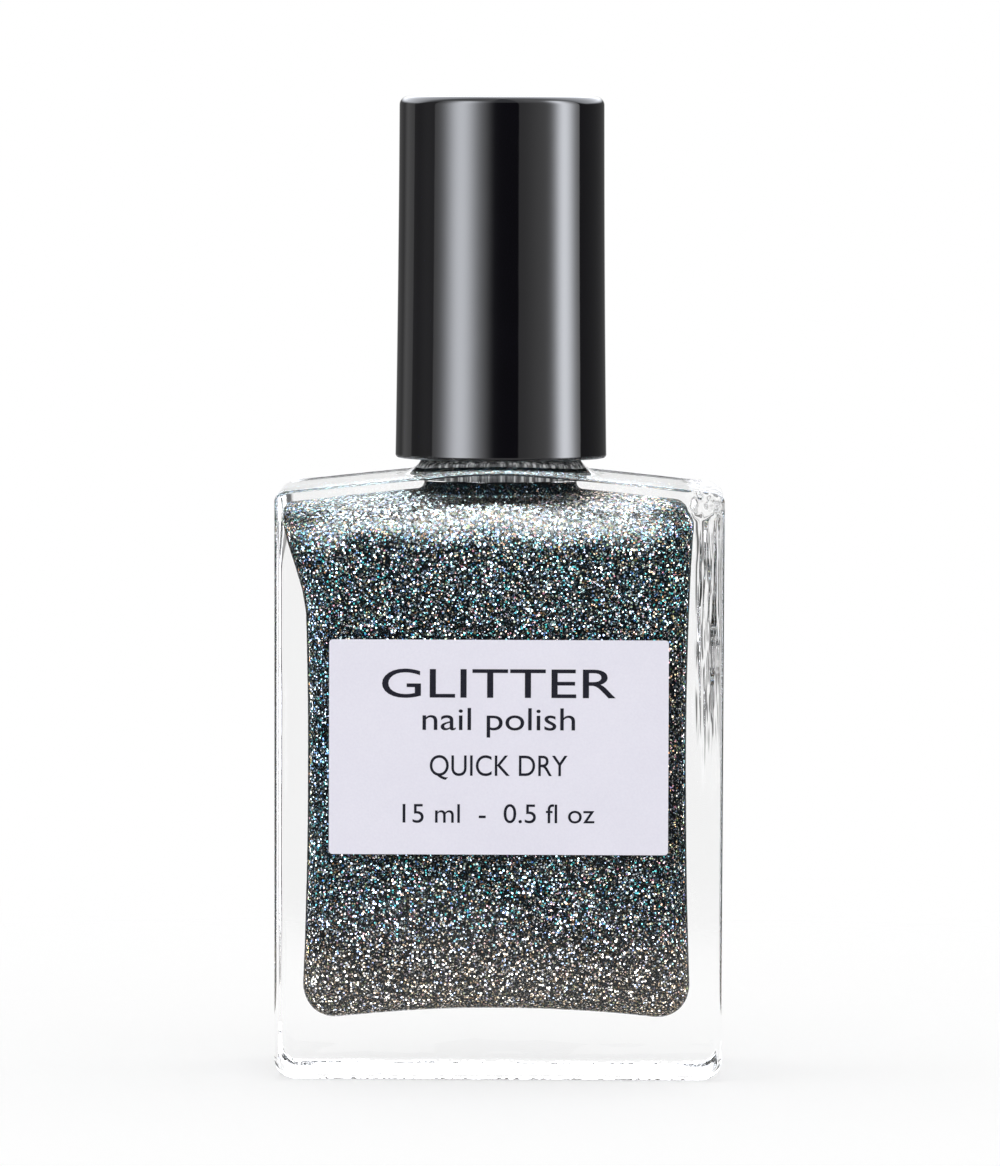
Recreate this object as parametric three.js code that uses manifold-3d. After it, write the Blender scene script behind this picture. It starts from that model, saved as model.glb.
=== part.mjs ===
// Nail polish bottle: rectangular glass bottle, lacquer, label, screw cap and brush.
// Millimetres, +Z up. The origin is on the bottle's axis, in the plane of its base.
// +X is the bottle's width and -Y is its front, where the label is.

import * as THREE from "three";
import { mergeVertices } from "three/addons/utils/BufferGeometryUtils.js";
import Module from "manifold-3d";

const wasm = await Module();
wasm.setup();

// ---------------------------------------------------------------- driving dimensions

// Glass body
const BODY_WIDTH = 36.6;
const BODY_DEPTH = 19;
const BODY_CORNER_R = 0.6;
const HEEL_END_R = 1.6; // rounding of the foot's left and right edges
const HEEL_EDGE_R = 0.5; // rounding of its front and back edges
const FOOT_INSET = 0.1; // each side is this much narrower at the foot than at the shoulder
const SHOULDER_Z = 49.5; // the two shoulder slopes meet here, inside the neck
const SHOULDER_SLOPE = 0.115;
const SHOULDER_RIDGE = 5; // how far out the ridge between the slopes is rounded
const SHOULDER_CROWN = 0.05; // fall of the shoulder from its middle line to its front edge
const SHOULDER_END_R = 0.8; // rounding of the shoulder's left and right ends
const SHOULDER_EDGE_R = 0.3; // rounding of its front and back edges
const EDGE_BLEND = 1.1; // distance from an end over which one rounding becomes the other

// Neck, a 13-415 screw finish
const NECK_COLLAR_R = 6.4;
const NECK_COLLAR_TOP_Z = 51.2;
const NECK_FILLET_WIDTH = 2.6;
const NECK_FILLET_RISE = 1.6;
const NECK_ROOT_R = 5.75;
const NECK_CREST_R = 6.5;
const NECK_BORE_R = 4.2;
const NECK_TOP_Z = 61.2;
const THREAD_PITCH = 2.117; // twelve threads to the inch

// Throat: an oval chamber between the neck's bore and the cavity
const THROAT_HALF_WIDTH = 6.2;
const THROAT_HALF_DEPTH = 4.6;
const THROAT_TOP_Z = 49.6;
const THROAT_SHOULDER_Z = 48.9; // its walls are upright below this
const THROAT_FLARE = 0.5; // how much wider it is where it meets the cavity's roof

// Cavity for the lacquer
const CAVITY_WAIST = 15.25; // half width at its narrowest, to the right of the axis
const CAVITY_LEFT_WAIST = 15.6; // the same, to the left
const CAVITY_WAIST_Z = 27;
const CAVITY_FLARE = 0.55; // how much wider it is CAVITY_FLARE_SPAN above the waist
const CAVITY_LOWER_FLARE = 0.3; // and as far below the waist
const CAVITY_FLARE_SPAN = 18;
const CAVITY_LEFT_BULGE = 1.6; // the left wall is thinner near the shoulder
const BULGE_START_Z = 37.5;
const BULGE_FULL_Z = 46.3;
const CAVITY_HALF_DEPTH = 6.1;
const CAVITY_CORNER_R = 2.8;
const CAVITY_CEILING_Z = 48.25;
const CAVITY_VAULT = 4; // the roof is an arch from front to back, this much higher at its middle
const CAVITY_VAULT_START = 30; // degrees up the arch where the roof's rounded rim ends
const CAVITY_END_R = 1.6; // rounding where the roof meets the right wall
const CAVITY_LEFT_END_R = 0.6; // rounding where the roof meets the left wall
const CAVITY_FLOOR_Z = 4.5;
const CAVITY_HEEL_R = 3;
const PUSH_UP = 1; // rise of the floor at its middle

// Lacquer
const LACQUER_GAP = 0.3;
const LACQUER_LEVEL_Z = 48.2;
const BRUSH_POCKET_R = 2.6;

// Label
const LABEL_WIDTH = 27.6;
const LABEL_HEIGHT = 17.5;
const LABEL_THICK = 0.15;
const LABEL_Z = 27.15;
const LABEL_GAP = 0.04;

// Overcap
const CAP_TOP_Z = 80;
const CAP_FOOT_Z = 50.35;
const CAP_TOP_R = 8.42;
const CAP_FOOT_R = 8.68;
const CAP_TOP_EDGE_R = 0.55;
const CAP_FOOT_EDGE_R = 0.3;
const CAP_BORE_R = 7.75;
const CAP_UPPER_BORE_R = 7.1;
const CAP_STEP_Z = 65.4;
const CAP_ROOF = 1.3;

// Inner cap
const INNER_FOOT_Z = 51.4;
const INNER_TOP_Z = 65.1;
const INNER_RIB_R = 7.6;
const INNER_GROOVE_R = 7.45;
const INNER_THREAD_ROOT_R = 6.95;
const INNER_THREAD_CREST_R = 6.65;
const INNER_CEILING_Z = 63.5;
const SOCKET_R = 3.5;
const SOCKET_BORE_R = 2.35;
const SOCKET_TOP_Z = 72.2;
const SOCKET_BORE_TOP_Z = 71;

// Seal washer and brush
const WASHER_R = 6.2;
const WASHER_HOLE_R = 2.3;
const WASHER_FOOT_Z = 61.5;
const WASHER_THICK = 0.8;
const FLANGE_R = 5.6;
const FLANGE_FOOT_Z = 62.5;
const FLANGE_THICK = 0.8;
const SPIGOT_R = 2.1;
const SPIGOT_TOP_Z = 70.6;
const STEM_TOP_R = 1.9;
const STEM_TIP_R = 1.55;
const STEM_TIP_Z = 24;
const STEM_SOCKET_R = 1.2;
const STEM_SOCKET_DEPTH = 5.3;
const BRUSH_ROOT_R = 1;
const BRUSH_BELLY_R = 1.35;
const BRUSH_TIP_Z = 7.8;
const ANCHOR_LENGTH = 1.9;
const ANCHOR_THICK = 0.35;
const ANCHOR_HEIGHT = 1.1;
const ANCHOR_GAP = 0.15;

// Mixing balls, 5/32 inch
const BALL_R = 1.98;
const BALL_X = 10.5;
const BALL_TRAVEL = 30;
const BALL_CHANNEL_R = 2.3;

// Smoothness
const STATIONS = 11; // steps in a quarter of a glass ring
const EDGE_STEPS = 3; // steps in a rounded edge of the glass
const THREAD_STEPS = 24; // steps in one turn of a thread
const TURN_STEPS = 48; // steps round the cap

// ---------------------------------------------------------------- mesh helpers

const QUARTER = Math.PI / 2;

// Joins rings of equal point count into one closed skin. The first and last entries may be points.
function skin(rings) {
  const positions = [];
  const index = [];
  const starts = [];
  for (const ring of rings) {
    starts.push(positions.length / 3);
    for (const p of ring) {
      positions.push(p.x, p.y, p.z);
    }
  }
  for (let k = 0; k + 1 < rings.length; k++) {
    const below = rings[k];
    const above = rings[k + 1];
    const count = Math.max(below.length, above.length);
    for (let i = 0; i < count; i++) {
      const next = (i + 1) % count;
      const a = starts[k] + (below.length > 1 ? i : 0);
      const b = starts[k] + (below.length > 1 ? next : 0);
      const c = starts[k + 1] + (above.length > 1 ? i : 0);
      const d = starts[k + 1] + (above.length > 1 ? next : 0);
      if (a !== b) {
        index.push(a, b, d);
      }
      if (c !== d) {
        index.push(a, d, c);
      }
    }
  }
  const geometry = new THREE.BufferGeometry();
  geometry.setAttribute("position", new THREE.Float32BufferAttribute(positions, 3));
  geometry.setIndex(index);
  return geometry;
}

const point = (x, y, z) => [new THREE.Vector3(x, y, z)];

// A circle with `count` points, whose radius may change with the point's number.
function circle(radius, z, count = 4 * STATIONS) {
  const ring = [];
  for (let i = 0; i < count; i++) {
    const angle = (2 * Math.PI * i) / count;
    const r = typeof radius === "function" ? radius(i) : radius;
    ring.push(new THREE.Vector3(r * Math.cos(angle), r * Math.sin(angle), z));
  }
  return ring;
}

// A quarter of a rounded rectangle, from the middle of its +X side to the middle of its +Y side.
function quarterOutline(halfWidth, halfDepth, corner) {
  const straightX = halfWidth - corner;
  const straightY = halfDepth - corner;
  const points = [
    [halfWidth, 0],
    [halfWidth, straightY / 2],
  ];
  for (let i = 0; i <= 4; i++) {
    const angle = (QUARTER * i) / 4;
    points.push([straightX + corner * Math.cos(angle), straightY + corner * Math.sin(angle)]);
  }
  for (const share of [0.8, 0.6, 0.4, 0.2]) {
    points.push([straightX * share, halfDepth]);
  }
  return points;
}

// A whole rounded rectangle. Its left half may be wider than its right half.
// `height` is a level, or a function of x and y.
function rectangle({ right, left = right, halfDepth, corner }, height) {
  const onRight = quarterOutline(right, halfDepth, corner);
  const onLeft = quarterOutline(left, halfDepth, corner);
  const flat = [
    ...onRight,
    [0, halfDepth],
    ...onLeft.slice(1).reverse().map(([x, y]) => [-x, y]),
    ...onLeft.map(([x, y]) => [-x, -y]),
    [0, -halfDepth],
    ...onRight.slice(1).reverse().map(([x, y]) => [x, -y]),
  ];
  return flat.map(([x, y]) => {
    const z = typeof height === "function" ? height(x, y) : height;
    return new THREE.Vector3(x, y, z);
  });
}

// A ring part of the way from one ring to another, laid on a height function.
function between(from, to, share, height) {
  return from.map((p, i) => {
    const q = p.clone().lerp(to[i], share);
    q.z = height(q.x, q.y);
    return q;
  });
}

// A thread's ridge, along a helix. It is lower at both ends.
function threadRidge({ rootR, crestR, footZ, turns, halfRoot, halfCrest }) {
  const steps = Math.round(turns * THREAD_STEPS);
  const runOut = 5; // steps from an end to the full height
  const endShare = 0.25; // height of an end, as a share of the full height
  const rings = [];
  for (let i = 0; i <= steps; i++) {
    const angle = (2 * Math.PI * turns * i) / steps;
    const z = footZ + (THREAD_PITCH * turns * i) / steps;
    const grown = Math.min(1, i / runOut, (steps - i) / runOut);
    const crest = rootR + (crestR - rootR) * (endShare + (1 - endShare) * grown);
    const section = [
      [rootR, z - halfRoot],
      [crest, z - halfCrest],
      [crest, z + halfCrest],
      [rootR, z + halfRoot],
    ];
    rings.push(
      section.map(([r, height]) => new THREE.Vector3(r * Math.cos(angle), r * Math.sin(angle), height)),
    );
  }
  const middle = (ring) => [ring.reduce((sum, p) => sum.add(p), new THREE.Vector3()).divideScalar(4)];
  const closed = [middle(rings[0]), ...rings, middle(rings[rings.length - 1])];
  return skin(crestR > rootR ? closed.reverse() : closed);
}

// A body of revolution about Z. The profile is a list of [radius, z].
function turned(profile, steps = TURN_STEPS) {
  const points = profile.map(([r, z]) => new THREE.Vector2(r, z));
  return new THREE.LatheGeometry(points, steps).rotateX(QUARTER);
}

// Points along an arc in a profile, from one angle to another, in degrees.
function arc(centreR, centreZ, radius, fromDeg, toDeg, steps = 4) {
  const points = [];
  for (let i = 0; i <= steps; i++) {
    const angle = THREE.MathUtils.degToRad(fromDeg + ((toDeg - fromDeg) * i) / steps);
    points.push([centreR + radius * Math.cos(angle), centreZ + radius * Math.sin(angle)]);
  }
  return points;
}

// ---------------------------------------------------------------- joining and cutting

function toSolid(geometry) {
  const bare = geometry.clone();
  bare.deleteAttribute("normal");
  bare.deleteAttribute("uv");
  const merged = mergeVertices(bare, 1e-4);
  return new wasm.Manifold(
    new wasm.Mesh({
      numProp: 3,
      vertProperties: new Float32Array(merged.attributes.position.array),
      triVerts: new Uint32Array(merged.index.array),
    }),
  );
}

function toGeometry(solid) {
  const mesh = solid.getMesh();
  const geometry = new THREE.BufferGeometry();
  geometry.setAttribute("position", new THREE.Float32BufferAttribute(mesh.vertProperties, 3));
  geometry.setIndex(Array.from(mesh.triVerts));
  geometry.computeVertexNormals();
  return geometry;
}

const join = (a, b) => toGeometry(toSolid(a).add(toSolid(b)));
const cut = (a, b) => toGeometry(toSolid(a).subtract(toSolid(b)));

// ---------------------------------------------------------------- heights and widths

// Fall of the two slopes from their rounded ridge.
function slopeFall(x) {
  return SHOULDER_SLOPE * (Math.hypot(x, SHOULDER_RIDGE) - SHOULDER_RIDGE);
}

// Outside of the shoulder, and the fillet that carries it up into the neck.
function shoulderHeight(x, y) {
  const crown = SHOULDER_CROWN * (y / (BODY_DEPTH / 2)) ** 2;
  const slope = SHOULDER_Z - slopeFall(x) - crown;
  const outside = Math.max(0, Math.hypot(x, y) - NECK_COLLAR_R);
  const reach = Math.max(0, 1 - outside / NECK_FILLET_WIDTH);
  return slope + NECK_FILLET_RISE * (1 - Math.sqrt(1 - reach ** 2));
}

// Roof of the cavity, drawn in by `inset`. It is arched from front to back and slopes as the shoulder does.
function ceilingHeight(x, y, inset = 0) {
  const reach = Math.min(1, Math.abs(y) / (CAVITY_HALF_DEPTH - inset));
  const fall = CAVITY_VAULT * (1 - Math.sqrt(1 - reach ** 2));
  return CAVITY_CEILING_Z - inset - slopeFall(x) - fall;
}

function floorHeight(x) {
  const share = Math.min(1, Math.abs(x) / CAVITY_WAIST);
  return CAVITY_FLOOR_Z + PUSH_UP * (1 - share ** 2);
}

// The cavity's outline at a level, drawn in by `inset`.
function cavityOutline(z, inset) {
  const widest = z > CAVITY_WAIST_Z ? CAVITY_FLARE : CAVITY_LOWER_FLARE;
  const flare = widest * ((z - CAVITY_WAIST_Z) / CAVITY_FLARE_SPAN) ** 2;
  const bulge = CAVITY_LEFT_BULGE * THREE.MathUtils.smoothstep(z, BULGE_START_Z, BULGE_FULL_Z);
  return {
    right: CAVITY_WAIST + flare - inset,
    left: CAVITY_LEFT_WAIST + flare + bulge - inset,
    halfDepth: CAVITY_HALF_DEPTH - inset,
    corner: Math.max(0.6, CAVITY_CORNER_R - inset),
  };
}

// ---------------------------------------------------------------- glass bottle

// A ring of a rounded edge of the body. `share` is 0 at the walls and 1 on the flat face.
// `height` takes x, y and the distance along z from the flat face.
function edgeRing(share, halfWidth, endR, edgeR, height) {
  const angle = QUARTER * share;
  const drawnIn = 1 - Math.cos(angle);
  const outline = {
    right: halfWidth - endR * drawnIn,
    halfDepth: BODY_DEPTH / 2 - edgeR * drawnIn,
    corner: BODY_CORNER_R,
  };
  return rectangle(outline, (x, y) => {
    const nearEnd = 1 - THREE.MathUtils.smoothstep(outline.right - Math.abs(x), 0, EDGE_BLEND);
    const radius = THREE.MathUtils.lerp(edgeR, endR, nearEnd);
    return height(x, y, radius * (1 - Math.sin(angle)));
  });
}

function heelRing(share) {
  return edgeRing(share, BODY_WIDTH / 2 - FOOT_INSET, HEEL_END_R, HEEL_EDGE_R, (x, y, rise) => rise);
}

function shoulderEdgeRing(share) {
  const height = (x, y, drop) => shoulderHeight(x, y) - drop;
  return edgeRing(share, BODY_WIDTH / 2, SHOULDER_END_R, SHOULDER_EDGE_R, height);
}

function outsideRings() {
  const rings = [point(0, 0, 0)];
  for (let i = EDGE_STEPS; i >= 0; i--) {
    rings.push(heelRing(i / EDGE_STEPS));
  }
  for (let i = 0; i <= EDGE_STEPS; i++) {
    rings.push(shoulderEdgeRing(i / EDGE_STEPS));
  }
  const edge = rings[rings.length - 1];
  const neck = circle(NECK_COLLAR_R, 0);
  for (const share of [0.35, 0.65, 0.82, 0.92, 0.98]) {
    rings.push(between(edge, neck, share, shoulderHeight));
  }
  rings.push(circle(NECK_COLLAR_R, NECK_COLLAR_TOP_Z));
  rings.push(circle(NECK_ROOT_R, NECK_COLLAR_TOP_Z + 0.5));
  rings.push(circle(NECK_ROOT_R, NECK_TOP_Z - 0.4));
  rings.push(circle(NECK_ROOT_R - 0.4, NECK_TOP_Z));
  return rings;
}

// A ring of the roof's rim. `share` is 1 at its upper edge and 0 where the walls begin.
function roofRing(share, inset) {
  const endAngle = QUARTER * share;
  const archAngle = THREE.MathUtils.degToRad(CAVITY_VAULT_START * share);
  const outline = cavityOutline(CAVITY_CEILING_Z - 3, inset);
  outline.right -= CAVITY_END_R * (1 - Math.cos(endAngle));
  outline.left -= CAVITY_LEFT_END_R * (1 - Math.cos(endAngle));
  outline.halfDepth = (CAVITY_HALF_DEPTH - inset) * Math.cos(archAngle);
  return rectangle(outline, (x, y) => {
    const endX = x < 0 ? outline.left : outline.right;
    const endR = x < 0 ? CAVITY_LEFT_END_R : CAVITY_END_R;
    const nearEnd = 1 - THREE.MathUtils.smoothstep(endX - Math.abs(x), 0, outline.corner);
    return ceilingHeight(x, y, inset) - endR * (1 - Math.sin(endAngle)) * nearEnd;
  });
}

// Rings of the cavity from its roof's rim down to its floor, drawn in by `inset`.
function cavityRings(inset) {
  const rings = [];
  for (let i = EDGE_STEPS; i >= 0; i--) {
    rings.push(roofRing(i / EDGE_STEPS, inset));
  }
  for (const z of [41.5, 37, 27, 17, 11]) {
    rings.push(rectangle(cavityOutline(z, inset), z));
  }
  const heelTopZ = CAVITY_FLOOR_Z + CAVITY_HEEL_R;
  for (let i = 0; i <= EDGE_STEPS; i++) {
    const angle = (QUARTER * i) / EDGE_STEPS;
    const drawnIn = inset + CAVITY_HEEL_R * (1 - Math.cos(angle));
    const rise = inset + CAVITY_HEEL_R * (1 - Math.sin(angle));
    rings.push(rectangle(cavityOutline(heelTopZ, drawnIn), (x) => floorHeight(x) + rise));
  }
  const heel = rings[rings.length - 1];
  const middle = circle(0.5, 0);
  for (const share of [0.35, 0.7]) {
    rings.push(between(heel, middle, share, (x) => floorHeight(x) + inset));
  }
  rings.push(point(0, 0, floorHeight(0) + inset));
  return rings;
}

// Radius of the throat, drawn in by `inset`, at a point of a circle.
function throatRadius(inset) {
  return (i) => {
    const angle = (QUARTER * i) / STATIONS;
    const across = Math.cos(angle) / (THROAT_HALF_WIDTH - inset);
    const along = Math.sin(angle) / (THROAT_HALF_DEPTH - inset);
    return 1 / Math.hypot(across, along);
  };
}

// A circle laid `lift` above the cavity's roof.
function roofCircle(radius, lift, inset) {
  return circle(radius, 0).map((p) => {
    p.z = ceilingHeight(p.x, p.y, inset) + lift;
    return p;
  });
}

function insideRings() {
  const throat = roofCircle(throatRadius(-THROAT_FLARE), 0, 0);
  const cavity = cavityRings(0);
  return [
    circle(NECK_BORE_R + 0.3, NECK_TOP_Z),
    circle(NECK_BORE_R, NECK_TOP_Z - 0.3),
    circle(NECK_BORE_R, THROAT_TOP_Z),
    circle(throatRadius(0.25), THROAT_TOP_Z - 0.2),
    circle(throatRadius(0), THROAT_SHOULDER_Z),
    roofCircle(throatRadius(0), 0.5, 0),
    roofCircle(throatRadius(-THROAT_FLARE / 3), 0.15, 0),
    throat,
    between(throat, cavity[0], 0.5, ceilingHeight),
    ...cavity,
  ];
}

function glassBottle() {
  const bottle = skin([...outsideRings(), ...insideRings()]);
  const thread = threadRidge({
    rootR: NECK_ROOT_R - 0.3,
    crestR: NECK_CREST_R,
    footZ: NECK_COLLAR_TOP_Z + 2.6,
    turns: 2,
    halfRoot: 0.75,
    halfCrest: 0.3,
  });
  return join(bottle, thread);
}

// ---------------------------------------------------------------- lacquer

function lacquer() {
  const gap = LACQUER_GAP;
  const cavity = cavityRings(gap);
  const throat = roofCircle(throatRadius(gap - THROAT_FLARE), 0, gap);
  const rings = [
    point(0, 0, LACQUER_LEVEL_Z),
    circle(throatRadius(gap), LACQUER_LEVEL_Z),
    roofCircle(throatRadius(gap), 0.35, gap),
    roofCircle(throatRadius(gap - THROAT_FLARE / 3), 0.1, gap),
    throat,
    between(throat, cavity[0], 0.5, (x, y) => ceilingHeight(x, y, gap)),
    ...cavity,
  ];
  let body = skin(rings.reverse());
  const pocketFootZ = BRUSH_TIP_Z - 0.5;
  const pocketHeight = LACQUER_LEVEL_Z + 1 - pocketFootZ;
  const pocket = new THREE.CylinderGeometry(BRUSH_POCKET_R, BRUSH_POCKET_R, pocketHeight, 28);
  pocket.rotateX(QUARTER).translate(0, 0, pocketFootZ + pocketHeight / 2);
  body = cut(body, pocket);
  const channelHeight = BALL_TRAVEL + 2 * BALL_CHANNEL_R + 3;
  for (const side of [-1, 1]) {
    const channel = new THREE.CylinderGeometry(BALL_CHANNEL_R, BALL_CHANNEL_R, channelHeight, 20);
    channel.rotateX(QUARTER).translate(side * BALL_X, 0, ballZ() - BALL_CHANNEL_R - 3 + channelHeight / 2);
    body = cut(body, channel);
  }
  return body;
}

// ---------------------------------------------------------------- label

function frontLabel() {
  const outline = new THREE.Shape();
  const halfWidth = LABEL_WIDTH / 2;
  const halfHeight = LABEL_HEIGHT / 2;
  outline.moveTo(-halfWidth, -halfHeight);
  outline.lineTo(halfWidth, -halfHeight);
  outline.lineTo(halfWidth, halfHeight);
  outline.lineTo(-halfWidth, halfHeight);
  outline.closePath();
  const sheet = new THREE.ExtrudeGeometry(outline, { depth: LABEL_THICK, bevelEnabled: false });
  return sheet.rotateX(QUARTER).translate(0, -BODY_DEPTH / 2 - LABEL_GAP, LABEL_Z);
}

// ---------------------------------------------------------------- cap

// Outside radius of the overcap: it widens towards its foot, faster near the foot.
function overcapRadius(z) {
  const share = (CAP_TOP_Z - z) / (CAP_TOP_Z - CAP_FOOT_Z);
  const flare = CAP_FOOT_R - CAP_TOP_R;
  return CAP_TOP_R + flare * (0.37 * share + 0.63 * share ** 2);
}

function overcap() {
  const topEdge = arc(CAP_TOP_R - CAP_TOP_EDGE_R, CAP_TOP_Z - CAP_TOP_EDGE_R, CAP_TOP_EDGE_R, 90, 0);
  const wall = [74, 68, 62, 56].map((z) => [overcapRadius(z), z]);
  const footCentreZ = CAP_FOOT_Z + CAP_FOOT_EDGE_R;
  const footEdge = arc(CAP_FOOT_R - CAP_FOOT_EDGE_R, footCentreZ, CAP_FOOT_EDGE_R, 0, -90, 3);
  const bore = [
    [CAP_BORE_R, CAP_FOOT_Z],
    [CAP_BORE_R, CAP_STEP_Z],
    [CAP_UPPER_BORE_R, CAP_STEP_Z],
    [CAP_UPPER_BORE_R, CAP_TOP_Z - CAP_ROOF - 0.6],
    [CAP_UPPER_BORE_R - 0.6, CAP_TOP_Z - CAP_ROOF],
    [0, CAP_TOP_Z - CAP_ROOF],
  ];
  return turned([[0, CAP_TOP_Z], ...topEdge, ...wall, ...footEdge, ...bore].reverse());
}

function innerCap() {
  const ribbed = (i) => (i % 2 === 0 ? INNER_RIB_R : INNER_GROOVE_R);
  const steps = TURN_STEPS;
  const shell = skin([
    point(0, 0, SOCKET_BORE_TOP_Z),
    circle(SOCKET_BORE_R, SOCKET_BORE_TOP_Z, steps),
    circle(SOCKET_BORE_R, INNER_CEILING_Z, steps),
    circle(INNER_THREAD_ROOT_R, INNER_CEILING_Z, steps),
    circle(INNER_THREAD_ROOT_R, INNER_FOOT_Z, steps),
    circle(INNER_GROOVE_R - 0.1, INNER_FOOT_Z, steps),
    circle(ribbed, INNER_FOOT_Z + 0.3, steps),
    circle(ribbed, INNER_TOP_Z - 0.5, steps),
    circle(INNER_GROOVE_R - 0.5, INNER_TOP_Z, steps),
    circle(SOCKET_R, INNER_TOP_Z, steps),
    circle(SOCKET_R, SOCKET_TOP_Z - 0.4, steps),
    circle(SOCKET_R - 0.4, SOCKET_TOP_Z, steps),
    point(0, 0, SOCKET_TOP_Z),
  ]);
  const thread = threadRidge({
    rootR: INNER_THREAD_ROOT_R + 0.15,
    crestR: INNER_THREAD_CREST_R,
    footZ: INNER_FOOT_Z + 1.6,
    turns: 2,
    halfRoot: 0.5,
    halfCrest: 0.2,
  });
  return join(shell, thread);
}

function sealWasher() {
  const topZ = WASHER_FOOT_Z + WASHER_THICK;
  return turned([
    [WASHER_HOLE_R, WASHER_FOOT_Z],
    [WASHER_R, WASHER_FOOT_Z],
    [WASHER_R, topZ],
    [WASHER_HOLE_R, topZ],
    [WASHER_HOLE_R, WASHER_FOOT_Z],
  ]);
}

// ---------------------------------------------------------------- brush

const anchorFootZ = STEM_TIP_Z + STEM_SOCKET_DEPTH - ANCHOR_GAP - ANCHOR_HEIGHT;

function brushStem() {
  const flangeTopZ = FLANGE_FOOT_Z + FLANGE_THICK;
  const socketTopZ = STEM_TIP_Z + STEM_SOCKET_DEPTH;
  return turned(
    [
      [0, socketTopZ],
      [STEM_SOCKET_R, socketTopZ],
      [STEM_SOCKET_R, STEM_TIP_Z],
      [STEM_TIP_R - 0.1, STEM_TIP_Z],
      [STEM_TIP_R, STEM_TIP_Z + 0.3],
      [STEM_TOP_R, FLANGE_FOOT_Z - 1],
      [STEM_TOP_R + 0.2, FLANGE_FOOT_Z],
      [FLANGE_R, FLANGE_FOOT_Z],
      [FLANGE_R, flangeTopZ],
      [SPIGOT_R, flangeTopZ],
      [SPIGOT_R, SPIGOT_TOP_Z - 0.5],
      [SPIGOT_R - 0.5, SPIGOT_TOP_Z],
      [0, SPIGOT_TOP_Z],
    ],
    32,
  );
}

// Bundle of filaments, folded over the anchor, that swells a little below the stem.
function bristles() {
  const count = 32;
  const fluted = (r) => (i) => (i % 2 === 0 ? r : r - 0.08);
  const rootTopZ = anchorFootZ + ANCHOR_HEIGHT;
  const bellyZ = BRUSH_TIP_Z + 7;
  const bundle = skin([
    point(0, 0, BRUSH_TIP_Z),
    circle(fluted(BRUSH_BELLY_R - 0.5), BRUSH_TIP_Z + 0.1, count),
    circle(fluted(BRUSH_BELLY_R - 0.15), BRUSH_TIP_Z + 1, count),
    circle(fluted(BRUSH_BELLY_R), bellyZ, count),
    circle(fluted(BRUSH_ROOT_R + 0.15), STEM_TIP_Z - 1.5, count),
    circle(fluted(BRUSH_ROOT_R), STEM_TIP_Z, count),
    circle(fluted(BRUSH_ROOT_R), rootTopZ, count),
    point(0, 0, rootTopZ),
  ]);
  const slotHeight = ANCHOR_HEIGHT + ANCHOR_GAP + 1;
  const slot = new THREE.BoxGeometry(3 * BRUSH_ROOT_R, ANCHOR_THICK + 2 * ANCHOR_GAP, slotHeight);
  slot.translate(0, 0, anchorFootZ - ANCHOR_GAP + slotHeight / 2);
  return cut(bundle, slot);
}

function bristleAnchor() {
  const plate = new THREE.BoxGeometry(ANCHOR_LENGTH, ANCHOR_THICK, ANCHOR_HEIGHT);
  return plate.translate(0, 0, anchorFootZ + ANCHOR_HEIGHT / 2);
}

// ---------------------------------------------------------------- mixing balls

// Centre height of a ball that lies on the cavity's floor.
function ballZ() {
  return floorHeight(BALL_X) + BALL_R + 0.15;
}

function mixingBall(side) {
  return new THREE.SphereGeometry(BALL_R, 18, 12).rotateX(QUARTER).translate(side * BALL_X, 0, ballZ());
}

// ---------------------------------------------------------------- materials and nodes

function material(color, roughness, metalness = 0, opacity = 1) {
  return new THREE.MeshStandardMaterial({ color, roughness, metalness, opacity, transparent: opacity < 1 });
}

const bottle = new THREE.Group();

function add(name, geometry, look) {
  const mesh = new THREE.Mesh(geometry, look);
  mesh.name = name;
  bottle.add(mesh);
}

add("glass_bottle", glassBottle(), material("#eef2f2", 0.04, 0, 0.35));
add("lacquer", lacquer(), material("#6f7677", 0.35, 0.5));
add("front_label", frontLabel(), material("#dfddea", 0.7));
add("overcap", overcap(), material("#0d0d12", 0.12));
add("inner_cap", innerCap(), material("#17171a", 0.45));
add("seal_washer", sealWasher(), material("#e9e7e0", 0.6));
add("brush_stem", brushStem(), material("#1b1b1e", 0.35));
add("bristles", bristles(), material("#26262a", 0.5));
add("bristle_anchor", bristleAnchor(), material("#c9b27a", 0.3, 1));
add("mixing_ball_1", mixingBall(-1), material("#c8cacc", 0.15, 1));
add("mixing_ball_2", mixingBall(1), material("#c8cacc", 0.15, 1));

export default bottle;
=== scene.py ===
# Looks of the nail polish bottle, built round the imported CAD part.
# Shape functions work in millimetres; meshes are in metres. -Y is the front, where the label is.

import math
import random

import bpy
from mathutils import Matrix, Vector


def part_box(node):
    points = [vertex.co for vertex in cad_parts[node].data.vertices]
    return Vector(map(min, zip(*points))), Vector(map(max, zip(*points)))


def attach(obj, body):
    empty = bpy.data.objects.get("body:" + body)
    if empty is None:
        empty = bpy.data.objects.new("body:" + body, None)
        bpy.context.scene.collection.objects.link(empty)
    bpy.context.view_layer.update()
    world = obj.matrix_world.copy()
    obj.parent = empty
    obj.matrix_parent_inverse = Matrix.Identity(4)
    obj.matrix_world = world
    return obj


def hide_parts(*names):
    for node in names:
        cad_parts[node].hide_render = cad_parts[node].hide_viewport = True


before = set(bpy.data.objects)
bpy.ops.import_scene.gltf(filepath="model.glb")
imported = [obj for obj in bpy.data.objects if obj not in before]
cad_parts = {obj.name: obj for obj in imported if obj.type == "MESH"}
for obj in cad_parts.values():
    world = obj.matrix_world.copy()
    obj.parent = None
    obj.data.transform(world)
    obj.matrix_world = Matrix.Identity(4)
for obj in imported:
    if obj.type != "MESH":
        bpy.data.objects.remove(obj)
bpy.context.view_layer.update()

MM = 0.001
TAU = 2 * math.pi
QUARTER = math.pi / 2

# ------------------------------------------------------------------ sizes from the CAD boxes


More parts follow.
